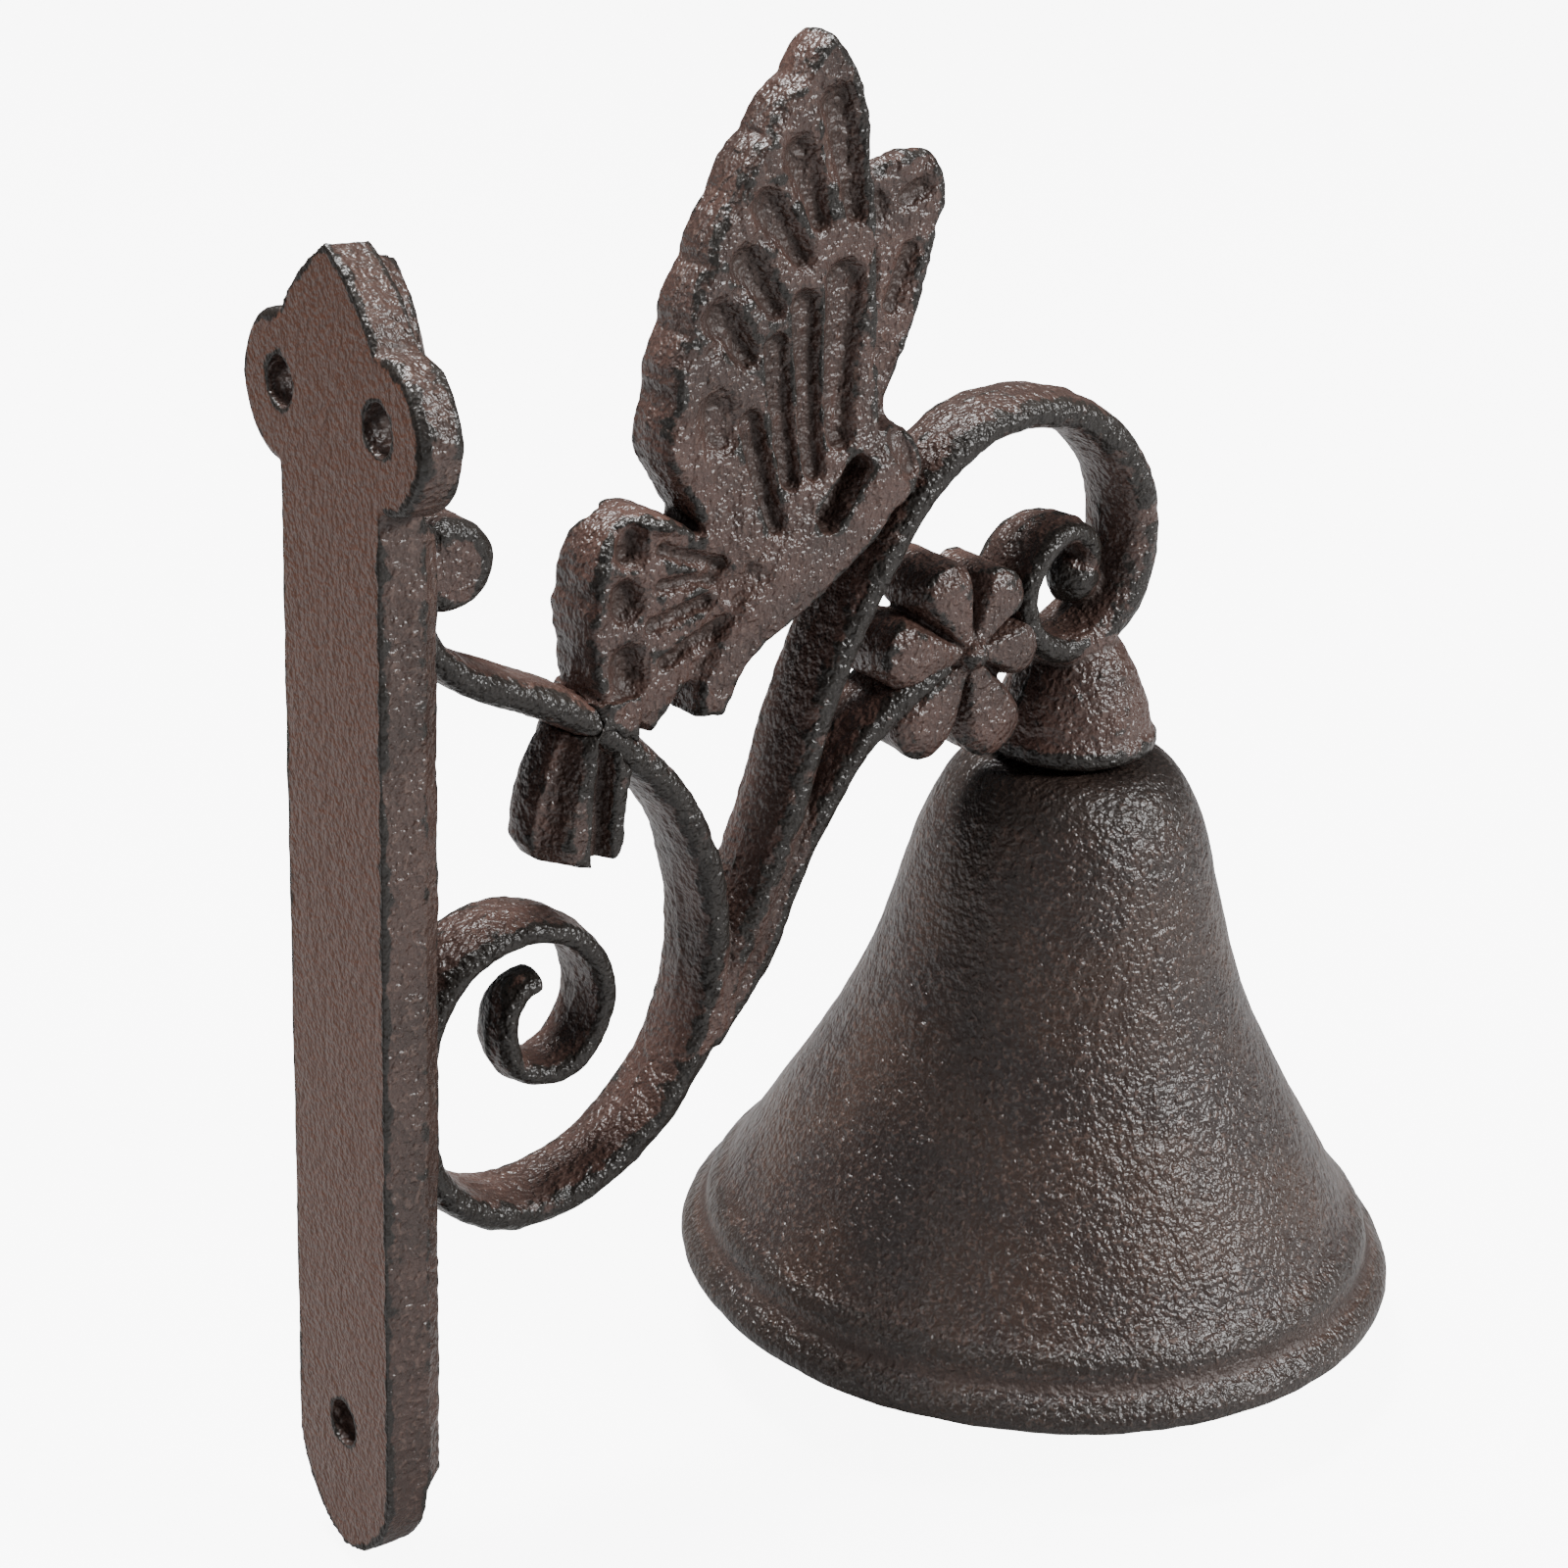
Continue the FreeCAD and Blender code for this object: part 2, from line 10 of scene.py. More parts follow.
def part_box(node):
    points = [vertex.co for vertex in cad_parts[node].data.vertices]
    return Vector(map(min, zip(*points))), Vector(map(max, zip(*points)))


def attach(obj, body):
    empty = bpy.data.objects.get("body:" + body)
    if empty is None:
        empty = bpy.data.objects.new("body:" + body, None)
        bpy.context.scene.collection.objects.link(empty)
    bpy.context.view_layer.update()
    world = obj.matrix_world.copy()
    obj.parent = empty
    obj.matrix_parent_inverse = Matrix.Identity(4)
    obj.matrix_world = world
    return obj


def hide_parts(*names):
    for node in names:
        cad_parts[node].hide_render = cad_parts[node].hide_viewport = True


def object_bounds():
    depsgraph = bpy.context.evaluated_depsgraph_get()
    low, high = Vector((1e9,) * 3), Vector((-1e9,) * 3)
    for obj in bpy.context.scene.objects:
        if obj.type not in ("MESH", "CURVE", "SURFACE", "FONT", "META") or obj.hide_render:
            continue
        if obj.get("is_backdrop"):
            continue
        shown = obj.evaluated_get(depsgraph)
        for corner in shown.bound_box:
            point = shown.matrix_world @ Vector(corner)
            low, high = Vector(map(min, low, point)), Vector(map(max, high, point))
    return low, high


# Wall mounted bell.  The plate, the scroll work, the tail and the small hardware are remeshed
# from the CAD.  The butterfly, the flower and the bell are built again here in the places that
# the CAD gives them.  Working arrays are in millimetres.

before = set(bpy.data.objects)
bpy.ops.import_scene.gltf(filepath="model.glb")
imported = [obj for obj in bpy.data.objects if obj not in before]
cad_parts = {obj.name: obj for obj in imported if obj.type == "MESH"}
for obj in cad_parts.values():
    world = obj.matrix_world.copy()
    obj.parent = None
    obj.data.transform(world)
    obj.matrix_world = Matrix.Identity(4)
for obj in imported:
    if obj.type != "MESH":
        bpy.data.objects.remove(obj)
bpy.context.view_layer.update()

MM = 0.001

# Camera, as an orbit round a point of the object
CAMERA_AZIMUTH = 36.77
CAMERA_ELEVATION = 22.22
CAMERA_ROLL = 2.34
CAMERA_LENS = 74.36
CAMERA_DISTANCE = 0.4045
CAMERA_TARGET = Vector((0.0633, 0.0, -0.0572))

# Voxel sizes of the remeshed castings, in metres
PLATE_VOXEL = 0.00038
SCROLL_VOXEL = 0.00044
BUTTERFLY_VOXEL = 0.00034
FLOWER_VOXEL = 0.0003
HARDWARE_VOXEL = 0.0003

# Light of the room, and the glow of the floor and of the room as the camera sees them
ROOM_LIGHT = 0.13
FLOOR_GLOW = 8.0
FLOOR_SIZE = 6
FLOOR_GAP = 0.0005

# Spacing of the points that the butterfly's two faces are built on, in millimetres
SHEET_STEP = 0.3

# Butterfly: half widths of the trunk and head, and how far in from its outline it rounds over
TRUNK_HALF = 7.4
HEAD_R = 6.1
WING_ROUND = 1.3

# Points round the flower and round the bell
AROUND = 360

# Rounds of blurring behind the relief attribute of the castings and of the bell
CASTING_BLUR = 24
BELL_BLUR = 40


# ---------------------------------------------------------------- mesh tools

def node_box(node):
    """Lowest and highest corner of a CAD node, in millimetres."""
    low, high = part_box(node)
    return np.array(low) / MM, np.array(high) / MM


def in_box(node, across, up):
    """Point (x, z) at a share of a node's width and height, in millimetres."""
    low, high = node_box(node)
    return np.array([low[0] + across * (high[0] - low[0]), low[2] + up * (high[2] - low[2])])


def new_object(name, mesh):
    obj = bpy.data.objects.new(name, mesh)
    bpy.context.scene.collection.objects.link(obj)
    return obj


def joined_copy(name, nodes, extra_meshes=()):
    """One object that holds copies of several CAD meshes and of meshes made here."""
    build = bmesh.new()
    for node in nodes:
        build.from_mesh(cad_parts[node].data)
    for mesh in extra_meshes:
        build.from_mesh(mesh)
    bmesh.ops.remove_doubles(build, verts=build.verts, dist=1e-6)
    mesh = bpy.data.meshes.new(name)
    build.to_mesh(mesh)
    build.free()
    return new_object(name, mesh)


def apply_modifiers(obj):
    depsgraph = bpy.context.evaluated_depsgraph_get()
    mesh = bpy.data.meshes.new_from_object(obj.evaluated_get(depsgraph))
    obj.modifiers.clear()
    obj.data = mesh


def remesh(obj, voxel):
    modifier = obj.modifiers.new("remesh", "REMESH")
    modifier.mode = "VOXEL"
    modifier.voxel_size = voxel
    apply_modifiers(obj)


def points_of(obj):
    flat = np.empty(len(obj.data.vertices) * 3, np.float32)
    obj.data.vertices.foreach_get("co", flat)
    return flat.reshape(-1, 3).astype(float) / MM


def set_points(obj, points):
    obj.data.vertices.foreach_set("co", (points * MM).astype(np.float32).ravel())
    obj.data.update()


def normals_of(obj):
    flat = np.empty(len(obj.data.vertices) * 3, np.float32)
    obj.data.vertices.foreach_get("normal", flat)
    return flat.reshape(-1, 3).astype(float)


def edges_of(obj):
    flat = np.empty(len(obj.data.edges) * 2, np.int32)
    obj.data.edges.foreach_get("vertices", flat)
    return flat.reshape(-1, 2)


def relaxed(points, edges, share):
    """Each point moved by a share of the way to the mean of its neighbours."""
    first, second = edges[:, 0], edges[:, 1]
    count = len(points)
    links = np.bincount(edges.ravel(), minlength=count).clip(1)
    mean = np.empty_like(points)
    for axis in range(3):
        total = np.bincount(first, points[second, axis], count)
        total += np.bincount(second, points[first, axis], count)
        mean[:, axis] = total / links
    return points + share * (mean - points)


def smooth(obj, rounds):
    """Evens out facets without shrinking the shape."""
    points, edges = points_of(obj), edges_of(obj)
    for _ in range(rounds):
        points = relaxed(points, edges, 0.5)
        points = relaxed(points, edges, -0.52)
    set_points(obj, points)


def lattice_value(cell, seed):
    """Repeatable value from -1 to 1 for each whole-number cell."""
    mixed = (cell[:, 0] * 73856093) ^ (cell[:, 1] * 19349663) ^ (cell[:, 2] * 83492791)
    mixed = (mixed + seed * 668265263) & 0x7FFFFFFF
    mixed = ((mixed ^ (mixed >> 13)) * 1274126177) & 0x7FFFFFFF
    mixed = ((mixed ^ (mixed >> 11)) * 97531) & 0x7FFFFFFF
    return mixed / 0x3FFFFFFF - 1


def noise(points, size, seed):
    """Smooth noise from -1 to 1 with lumps of about the given size in millimetres."""
    place = points / size + 1000.0
    cell = np.floor(place).astype(np.int64)
    part = place - cell
    part = part * part * (3 - 2 * part)
    total = np.zeros(len(points))
    for corner in range(8):
        step = np.array([corner & 1, (corner >> 1) & 1, corner >> 2])
        weight = np.prod(np.where(step, part, 1 - part), axis=1)
        total += weight * lattice_value(cell + step, seed)
    return total


def cast_skin(obj, lumps, grain, seed, share=1.0):
    """Uneven skin of a sand casting: broad lumps with finer grain on them."""
    points = points_of(obj)
    height = lumps * noise(points, 5.0, seed) + 0.6 * lumps * noise(points, 2.2, seed + 1)
    height = (height + grain * noise(points, 0.95, seed + 2)) * share
    set_points(obj, points + normals_of(obj) * height[:, None])


def store_relief(obj, rounds=14):
    """Keeps how far each point stands out of its surroundings, for worn edges and painted shade in hollows.
    """
    points, edges = points_of(obj), edges_of(obj)
    blurred = points
    for _ in range(rounds):
        blurred = relaxed(blurred, edges, 0.8)
    relief = ((points - blurred) * normals_of(obj)).sum(axis=1)
    relief = relaxed(np.repeat(relief[:, None], 3, axis=1), edges, 0.7)[:, 0]
    attribute = obj.data.attributes.new("relief", "FLOAT", "POINT")
    attribute.data.foreach_set("value", relief.astype(np.float32))


def shade_smooth(obj):
    obj.data.polygons.foreach_set("use_smooth", np.ones(len(obj.data.polygons), bool))


def finish_piece(obj, body, material, nodes):
    obj.data.materials.clear()
    obj.data.materials.append(material)
    shade_smooth(obj)
    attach(obj, body)
    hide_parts(*nodes)
    return obj


# ---------------------------------------------------------------- relief tools

def ease(value):
    value = np.clip(value, 0, 1)
    return value * value * (3 - 2 * value)


def away_from(plan, start, end):
    """Distance of points (x, z) from the segment start-end, and their share along it."""
    along = end - start
    length = max(float(along @ along), 1e-9)
    share = np.clip(((plan - start) @ along) / length, 0, 1)
    return np.linalg.norm(plan - (start + share[:, None] * along), axis=1), share


def stroke(plan, node, start, end, width, end_width=None, steepness=1.5):
    """Soft 0 to 1 mask round a line between two shares of a node's box."""
    away, share = away_from(plan, in_box(node, *start), in_box(node, *end))
    reach = (width + ((end_width or width) - width) * share) / 2
    return ease((1 - away / reach) * steepness)


def press(points, mask, depth, face):
    """Moves both faces of a two-sided casting towards its middle plane."""
    side = np.abs(points[:, 1])
    share = ease((side / face - 0.35) / 0.4)
    moved = points.copy()
    moved[:, 1] -= np.sign(points[:, 1]) * depth * mask * share
    return moved


# ---------------------------------------------------------------- butterfly

WING_NODES = ("butterfly_forewing", "butterfly_rear_forewing", "butterfly_hindwing",
              "butterfly_body")

# Middle line of the body from the neck to the tip, as shares of the body's box
SPINE = ((0.745, 0.731), (0.568, 0.602), (0.387, 0.478), (0.228, 0.354), (0.139, 0.218),
         (0.086, 0.07))
HEAD = (0.825, 0.825)


def plan_grid(nodes):
    """Grid of points (x, z) over the nodes with a margin, and its number of columns and rows."""
    boxes = [node_box(node) for node in nodes]
    margin = 4 * SHEET_STEP
    low = np.min([box[0] for box in boxes], axis=0) - margin
    high = np.max([box[1] for box in boxes], axis=0) + margin
    across = np.arange(low[0], high[0], SHEET_STEP)
    up = np.arange(low[2], high[2], SHEET_STEP)
    plan = np.stack(np.meshgrid(across, up, indexing="ij"), axis=-1).reshape(-1, 2)
    return plan, (len(across), len(up))


def inside_outline(plan, node):
    """Whether each point (x, z) lies on a CAD node, looking along Y."""
    low, high = node_box(node)
    build = bmesh.new()
    build.from_mesh(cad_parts[node].data)
    tree = BVHTree.FromBMesh(build)
    build.free()
    inside = np.all((plan >= low[[0, 2]]) & (plan <= high[[0, 2]]), axis=1)
    for index in np.flatnonzero(inside):
        start = Vector((plan[index, 0], low[1] - 1, plan[index, 1])) * MM
        inside[index] = tree.ray_cast(start, Vector((0, 1, 0)))[0] is not None
    return inside


def core_of(inside, shape):
    """The inside points whose eight neighbours are all inside."""
    field = inside.reshape(shape)
    core = field.copy()
    for across in (-1, 0, 1):
        for up in (-1, 0, 1):
            core &= np.roll(field, (across, up), axis=(0, 1))
    return core.ravel()


def depth_inside(plan, inside, shape):
    """Distance in from the outline for the points inside it, and 0 outside."""
    rim = plan[inside & ~core_of(inside, shape)]
    depth = np.zeros(len(plan))
    for part in np.array_split(np.flatnonzero(inside), 60):
        gap = plan[part, None, :] - rim[None, :, :]
        depth[part] = np.sqrt((gap ** 2).sum(axis=2).min(axis=1))
    return depth


def softened(mask, shape, rounds):
    """A mask with its step spread over about as many points as there are rounds."""
    field = mask.astype(float).reshape(shape)
    for _ in range(rounds):
        field = (field + np.roll(field, 1, 0) + np.roll(field, -1, 0)
                 + np.roll(field, 1, 1) + np.roll(field, -1, 1)) / 5
    return field.ravel()


def body_height(plan):
    """Rounded trunk and head, with a thinner tip that hangs free."""
    thickness = node_box("butterfly_body")[1][1]
    away = np.full(len(plan), 1e3)
    along = np.zeros(len(plan))
    for index, (start, end) in enumerate(zip(SPINE, SPINE[1:])):
        gap, share = away_from(plan, in_box("butterfly_body", *start), in_box("butterfly_body", *end))
        closer = gap < away
        away[closer] = gap[closer]
        along[closer] = index + share[closer]
    top = thickness * (1 - 0.36 * ease((along - 2.6) / 1.2))
    trunk = top * np.sqrt(np.clip(1 - (away / TRUNK_HALF) ** 2.6, 0, 1))
    head_away = np.linalg.norm(plan - in_box("butterfly_body", *HEAD), axis=1)
    head = thickness * np.sqrt(np.clip(1 - (head_away / HEAD_R) ** 2.2, 0, 1))
    return trunk, head, away


def forewing_pits(plan):
    """A row of teardrop pits down the outer edge, and long grooves nearer the body."""
    node = "butterfly_forewing"
    drops = [((0.77, 0.86), (0.87, 0.66), 6.8), ((0.60, 0.775), (0.70, 0.65), 6.6),
             ((0.46, 0.685), (0.62, 0.585), 6.4), ((0.365, 0.585), (0.50, 0.495), 6.2),
             ((0.255, 0.485), (0.38, 0.41), 6.6)]
    round_pit = ((0.245, 0.31), (0.27, 0.275), 7.6)
    grooves = [((0.825, 0.525), (0.80, 0.24), 7.0), ((0.645, 0.49), (0.68, 0.18), 5.2),
               ((0.515, 0.415), (0.575, 0.165), 4.8), ((0.40, 0.28), (0.50, 0.08), 4.2)]
    total = np.zeros(len(plan))
    for start, end, width in drops:
        total = np.maximum(total, 1.7 * stroke(plan, node, start, end, width, width * 0.6, 1.3))
        beside = (start[0] - 0.05, start[1] - 0.055)
        beside_end = (0.35 * start[0] + 0.65 * end[0] - 0.075, 0.35 * start[1] + 0.65 * end[1])
        total = np.maximum(total, 0.6 * stroke(plan, node, beside, beside_end, 2.0))
    total = np.maximum(total, 1.6 * stroke(plan, node, *round_pit, None, 1.3))
    for start, end, width in grooves:
        total = np.maximum(total, 1.6 * stroke(plan, node, start, end, width, width * 0.65, 1.8))
    return total


def rear_forewing_pits(plan):
    """Shallow pits on the part of the rear wing that shows."""
    node = "butterfly_rear_forewing"
    pits = [((0.50, 0.83), (0.68, 0.86), 3.6), ((0.16, 0.83), (0.18, 0.79), 3.2),
            ((0.12, 0.60), (0.06, 0.42), 2.2), ((0.56, 0.63), (0.36, 0.44), 3.4)]
    total = np.zeros(len(plan))
    for start, end, width in pits:
        total = np.maximum(total, 0.85 * stroke(plan, node, start, end, width))
    return total


def hindwing_relief(plan):
    """Round pits down the outer edge, grooves that fan out, and a raised upper rim."""
    node = "butterfly_hindwing"
    pits = [((0.235, 0.905), (0.24, 0.85), 5.6), ((0.22, 0.665), (0.23, 0.615), 5.4),
            ((0.235, 0.365), (0.25, 0.30), 5.8)]
    fans = [((0.42, 0.835), (0.735, 0.725), 2.8), ((0.42, 0.68), (0.70, 0.675), 2.6),
            ((0.38, 0.51), (0.67, 0.57), 2.8), ((0.45, 0.33), (0.78, 0.48), 2.6)]
    rim = [((0.05, 0.99), (0.42, 0.965)), ((0.42, 0.965), (0.78, 0.86)), ((0.78, 0.86), (0.84, 0.72))]
    total = np.zeros(len(plan))
    for start, end, width in pits:
        total = np.maximum(total, 1.9 * stroke(plan, node, start, end, width, None, 1.3))
    for start, end, width in fans:
        total = np.maximum(total, 1.1 * stroke(plan, node, start, end, width))
    for start, end in rim:
        total -= 0.7 * stroke(plan, node, start, end, 3.6) * (total < 0.2)
    return total


def wing_heights(plan, shape, masks):
    """Height of the near and of the far face over the middle plane."""
    trunk, head, from_spine = body_height(plan)
    fore_face = node_box("butterfly_forewing")[1][1]
    hind_face = node_box("butterfly_hindwing")[1][1]
    rear_low, rear_high = node_box("butterfly_rear_forewing")
    fore_low, fore_high = node_box("butterfly_forewing")
    fallen = ((fore_high[2] - plan[:, 1]) / (fore_high[2] - fore_low[2])).clip(0, 1)
    swell = 1.5 * fallen + 1.4 * (1 - ease((from_spine - 4) / 12))
    notch = 3.6 * stroke(plan, "butterfly_body", (0.55, 0.695), (0.685, 0.86), 4.0, 3.0, 2.0)
    dent = 1.1 * stroke(plan, "butterfly_body", (0.85, 0.93), (0.90, 0.84), 4.2)
    rear = softened(masks["butterfly_rear_forewing"], shape, 1)
    hind = softened(masks["butterfly_hindwing"], shape, 3)
    pits = forewing_pits(plan) * (1 - hind)
    hind_pits = hindwing_relief(plan) * hind
    faces = []
    for rear_face in (-rear_low[1], rear_high[1]):
        wing = fore_face + swell - pits
        wing += (rear_face + swell * 0.4 - rear_forewing_pits(plan) - wing) * rear
        wing += (hind_face - hind_pits - wing) * hind
        height = (wing.clip(0.5) ** 6 + trunk ** 6 + head ** 6) ** (1 / 6)
        faces.append((height - notch - dent).clip(0.6))
    return faces


def sheet_pair(name, plan, shape, inside, near, far):
    """Closed mesh between y = -near and y = +far over the inside points."""
    rim = inside & ~core_of(inside, shape)
    near_index = np.full(len(plan), -1)
    near_index[inside] = np.arange(inside.sum())
    far_index = near_index.copy()
    core = inside & ~rim
    far_index[core] = inside.sum() + np.arange(core.sum())
    points = np.concatenate([
        np.stack([plan[inside, 0], np.where(rim, 0, -near)[inside], plan[inside, 1]], axis=1),
        np.stack([plan[core, 0], far[core], plan[core, 1]], axis=1)])
    number = np.arange(len(plan)).reshape(shape)
    corners = np.stack([number[:-1, :-1], number[1:, :-1], number[1:, 1:], number[:-1, 1:]], axis=-1)
    corners = corners.reshape(-1, 4)
    corners = corners[inside[corners].all(axis=1) & core[corners].any(axis=1)]
    faces = np.concatenate([near_index[corners], far_index[corners][:, ::-1]])
    mesh = bpy.data.meshes.new(name)
    mesh.from_pydata((points * MM).tolist(), [], faces.tolist())
    return mesh


def butterfly_mesh():
    """Both faces of the wings and body, rounded over at the outline."""
    plan, shape = plan_grid(WING_NODES)
    masks = {node: inside_outline(plan, node) for node in WING_NODES}
    inside = np.any(list(masks.values()), axis=0)
    depth = depth_inside(plan, inside, shape)
    near, far = wing_heights(plan, shape, masks)
    rounding = (1 - (1 - (depth / WING_ROUND).clip(0, 1)) ** 2.6) ** (1 / 2.6)
    ragged = 0.35 * noise(np.stack([plan[:, 0], plan[:, 1] * 0, plan[:, 1]], axis=1), 2.4, 61)
    band = np.exp(-((depth - 1.2) / 0.8) ** 2)
    return sheet_pair("butterfly_shape", plan, shape, inside,
                      near * rounding + ragged * band, far * rounding + ragged * band)


def tail_relief(points):
    """A narrow ridge down the tail with a groove on each side of it."""
    node = "butterfly_tail"
    plan = points[:, [0, 2]]
    face = node_box(node)[1][1]
    groove = stroke(plan, node, (0.66, 0.76), (0.62, 0.03), 3.4, 3.6, 1.8)
    outer = stroke(plan, node, (0.36, 0.80), (0.06, 0.05), 3.2, 5.6, 1.2)
    points = press(points, groove, 2.2, face)
    return press(points, outer, 1.1, face)


# ---------------------------------------------------------------- flower

def flower_mesh():
    """Six thick petals round a button, the same on both faces."""
    low, high = node_box("flower")
    centre_x = low[0] + 0.54 * (high[0] - low[0])
    centre_z = low[2] + 0.565 * (high[2] - low[2])
    petal_tips = (11.5, 11.8, 12.8, 13.4, 15.2, 15.8)
    first_angle = -6.0
    valley_r = 8.2
    button_r = 2.1
    petal_face = high[1] - 1.6
    rings = 40
    build = bmesh.new()
    rows = {-1: [], 1: []}
    for side in rows:
        for ring in range(rings + 1):
            share = ring / rings
            row = []
            for step in range(AROUND):
                turn = 360 * step / AROUND
                petal = (turn - first_angle + 30) / 60
                offset = (petal % 1) * 2 - 1
                tip = petal_tips[int(petal) % 6]
                swell = max(math.cos(math.pi / 2 * offset), 0) ** 0.5
                r = max(share, 0.002) * (valley_r + (tip - valley_r) * swell)
                crease = 2.6 * math.exp(-((1 - abs(offset)) / 0.20) ** 2) * min(share * 1.8, 1)
                fall = 1.5 * (max(share - 0.72, 0) / 0.28) ** 2.2
                dome = 0.9 * share * (1 - offset ** 2)
                height = petal_face - 0.7 + dome - crease - fall
                if r < button_r:
                    height += 2.0 * math.sqrt(1 - (r / button_r) ** 2)
                angle = math.radians(turn)
                row.append(build.verts.new((
                    (centre_x + r * math.cos(angle)) * MM, side * min(height, high[1]) * MM,
                    (centre_z + r * math.sin(angle)) * MM)))
            rows[side].append(row)
        for inner, outer in zip(rows[side], rows[side][1:]):
            for step in range(AROUND):
                after = (step + 1) % AROUND
                build.faces.new((inner[step], outer[step], outer[after], inner[after]))
        build.faces.new(rows[side][0])
    near, far = rows[-1][-1], rows[1][-1]
    for step in range(AROUND):
        after = (step + 1) % AROUND
        build.faces.new((near[step], far[step], far[after], near[after]))
    bmesh.ops.recalc_face_normals(build, faces=build.faces)
    mesh = bpy.data.meshes.new("flower_shape")
    build.to_mesh(mesh)
    build.free()
    return mesh


# ---------------------------------------------------------------- materials

class Nodes:
    """Short way to add and join shader nodes."""

    def __init__(self, name):
        self.material = bpy.data.materials.new(name)
        self.material.use_nodes = True
        self.tree = self.material.node_tree
        self.shader = self.tree.nodes["Principled BSDF"]
        self.place = self.add("ShaderNodeTexCoord").outputs["Object"]

    def add(self, kind):
        return self.tree.nodes.new(kind)

    def join(self, source, target):
        if hasattr(source, "links"):
            self.tree.links.new(source, target)
        else:
            target.default_value = source

    def noise(self, size_mm, detail=2.0, roughness=0.5):
        node = self.add("ShaderNodeTexNoise")
        node.inputs["Scale"].default_value = 1 / (size_mm * MM)
        node.inputs["Detail"].default_value = detail
        node.inputs["Roughness"].default_value = roughness
        self.join(self.place, node.inputs["Vector"])
        return node.outputs["Fac"]

    def ramp(self, value, low, high):
        """0 at low, 1 at high, smooth between; low may be above high."""
        node = self.add("ShaderNodeMapRange")
        node.interpolation_type = "SMOOTHSTEP"
        node.inputs["From Min"].default_value = low
        node.inputs["From Max"].default_value = high
        self.join(value, node.inputs["Value"])
        return node.outputs["Result"]

    def math(self, operation, first, second):
        node = self.add("ShaderNodeMath")
        node.operation = operation
        self.join(first, node.inputs[0])
        self.join(second, node.inputs[1])
        return node.outputs["Value"]

    def mix(self, factor, first, second):
        node = self.add("ShaderNodeMix")
        node.data_type = "RGBA"
        self.join(factor, node.inputs[0])
        self.join(first, node.inputs[6])
        self.join(second, node.inputs[7])
        return node.outputs[2]

    def facing_wall(self):
        """1 on faces that point along -X, 0 on the others."""
        split = self.add("ShaderNodeSeparateXYZ")
        self.join(self.add("ShaderNodeNewGeometry").outputs["Normal"], split.inputs["Vector"])
        return self.ramp(split.outputs["X"], -0.75, -0.9)

    def attribute(self, name):
        node = self.add("ShaderNodeAttribute")
        node.attribute_name = name
        return node.outputs["Fac"]

    def bump(self, height, strength, distance_mm, normal=None):
        node = self.add("ShaderNodeBump")
        node.inputs["Strength"].default_value = strength
        node.inputs["Distance"].default_value = distance_mm * MM
        self.join(height, node.inputs["Height"])
        if normal is not None:
            self.join(normal, node.inputs["Normal"])
        return node.outputs["Normal"]


def colour(red, green, blue):
    return (red, green, blue, 1.0)


# Painted highlight: a lighter colour laid on the crests of the sand grain in place of glints
GRAIN_GLINT_PAINT = colour(0.125, 0.080, 0.064)
# Painted shade: the dark colour laid into the hollows of the castings
HOLLOW_SHADE_PAINT = colour(0.024, 0.011, 0.007)
RUBBED_EDGE = colour(0.016, 0.013, 0.011)


def cast_iron(name, paint, shadow, wear=1.0, grain=1.0, wall_face=None):
    """Rust-brown paint over a sandy casting, rubbed to grey-black on the edges."""
    n = Nodes(name)
    gloss = 0.5
    if wall_face:
        facing = n.facing_wall()
        paint = n.mix(facing, paint, wall_face)
        shadow = n.mix(facing, shadow, wall_face)
        gloss = n.math("SUBTRACT", 0.5, n.math("MULTIPLY", facing, 0.3))
    relief = n.attribute("relief")
    clouds = n.noise(16, 3.0, 0.6)
    patches = n.noise(3.0, 4.0, 0.65)
    sand = n.noise(0.68, 1.0, 0.5)
    body = n.mix(n.ramp(clouds, 0.38, 0.62), paint, shadow)
    body = n.mix(n.math("MULTIPLY", n.ramp(patches, 0.50, 0.70), 0.5), body, shadow)
    # Painted highlight: the crests of the sand grain are painted lighter
    painted_grain_glint = n.math("MULTIPLY", n.ramp(sand, 0.54, 0.72), 0.4)
    body = n.mix(painted_grain_glint, body, GRAIN_GLINT_PAINT)
    # Painted shade: hollows of the relief are painted darker, and made a little rougher
    hollow_shade = n.math("MULTIPLY", n.ramp(relief, -0.03, -0.24), 0.85)
    body = n.mix(hollow_shade, body, HOLLOW_SHADE_PAINT)
    broken = n.math("ADD", relief, n.math("MULTIPLY", n.math("SUBTRACT", patches, 0.5), 0.8))
    edge = n.math("MULTIPLY", n.ramp(broken, 0.17, 0.26), wear)
    body = n.mix(edge, body, RUBBED_EDGE)
    n.join(body, n.shader.inputs["Base Color"])
    shine = n.math("ADD", n.math("MULTIPLY", patches, 0.16), 0.30)
    n.join(n.math("ADD", shine, n.math("MULTIPLY", hollow_shade, 0.25)), n.shader.inputs["Roughness"])
    n.join(n.math("SUBTRACT", gloss, n.math("MULTIPLY", edge, 0.12)), n.shader.inputs["Specular IOR Level"])
    peel = n.bump(n.noise(1.6, 1.0, 0.5), 1.0, 0.55 * grain)
    n.join(n.bump(sand, 1.0, 0.50 * grain, peel), n.shader.inputs["Normal"])
    return n.material


